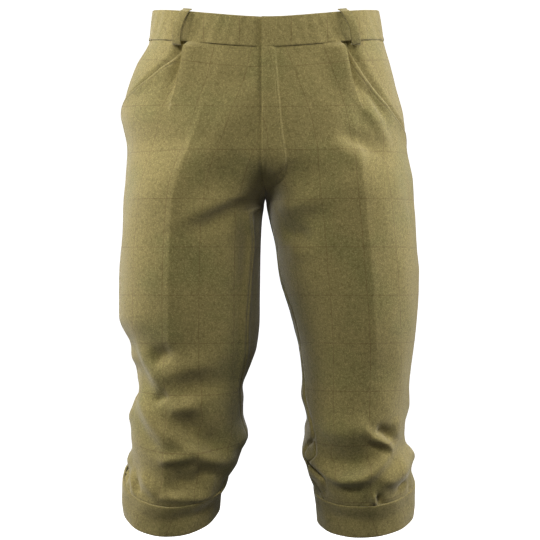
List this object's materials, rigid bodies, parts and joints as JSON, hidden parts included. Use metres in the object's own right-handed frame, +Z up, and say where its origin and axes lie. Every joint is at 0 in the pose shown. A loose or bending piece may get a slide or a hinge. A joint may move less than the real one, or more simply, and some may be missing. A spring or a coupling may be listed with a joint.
{
  "type": "knee breeches",
  "caption": "Tweed knee breeches filled out as worn: pleated front, slanted pockets, belt loops, and bloused legs gathered over deep lapped knee bands.",
  "frame": {"origin": "middle of the waist, at the height of the waistband's top edge at the sides", "axes": "+Z up the standing figure, -Y the way the wearer faces, +X towards the wearer's left"},
  "size_m": [0.4291, 0.2776, 0.7494],
  "materials": {
    "tweed": "heathered olive wool twill with a thin rust-brown windowpane check",
    "loop_tweed": "the same olive wool twill, in narrow folded strips"
  },
  "bodies": {
    "root": {"front_left": "tweed", "front_right": "tweed", "back_left": "tweed", "back_right": "tweed", "pocket_facing_left": "tweed", "pocket_facing_right": "tweed", "waistband_left": "tweed", "waistband_right": "tweed", "fly": "tweed", "knee_band_left": "tweed", "knee_band_right": "tweed", "belt_loop_1": "loop_tweed", "belt_loop_2": "loop_tweed", "belt_loop_3": "loop_tweed", "belt_loop_4": "loop_tweed", "belt_loop_5": "loop_tweed"}
  },
  "joints": []
}
